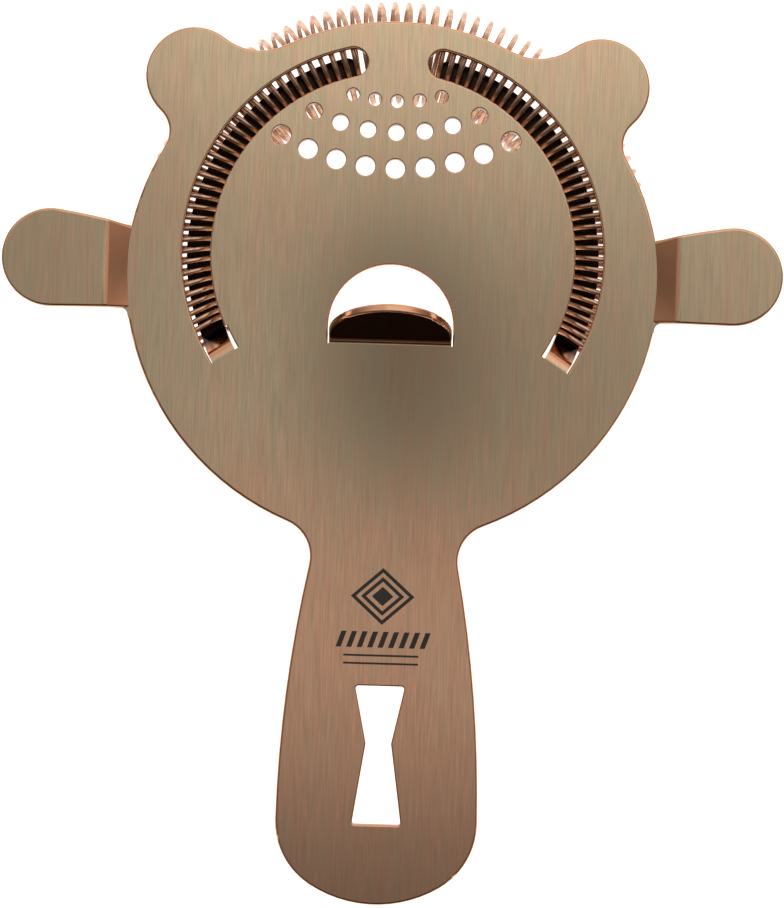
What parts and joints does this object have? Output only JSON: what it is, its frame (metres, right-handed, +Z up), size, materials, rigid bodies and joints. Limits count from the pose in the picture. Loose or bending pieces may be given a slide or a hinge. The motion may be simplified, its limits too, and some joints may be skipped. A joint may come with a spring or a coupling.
{
  "type": "hawthorne strainer",
  "caption": "Bar strainer: round stamped plate with handle, ears, stepped side prongs and finger tab, and a coil spring bent round its underside.",
  "frame": {"origin": "centre of the round plate, in the plane of its underside, where the rim of a shaker tin or mixing glass is centred", "axes": "+X across the two side prongs, +Y to the front of the spring with the handle along -Y, +Z up out of the glass"},
  "size_m": [0.1366, 0.1614, 0.0319],
  "materials": {
    "plated_plate": "brushed stainless sheet with an antique copper plate",
    "plated_wire": "drawn stainless spring wire with an antique copper plate"
  },
  "bodies": {
    "plate": {"body_plate": "plated_plate"},
    "spring": {"coil_spring": "plated_wire"}
  },
  "joints": [
    {"name": "spring_compress", "type": "slide", "parent": "plate", "child": "spring", "axis": [0, -1, 0], "range_m": [0, 0.004], "stiffness_N_per_m": 250, "deforming": ["coil_spring"]}
  ]
}
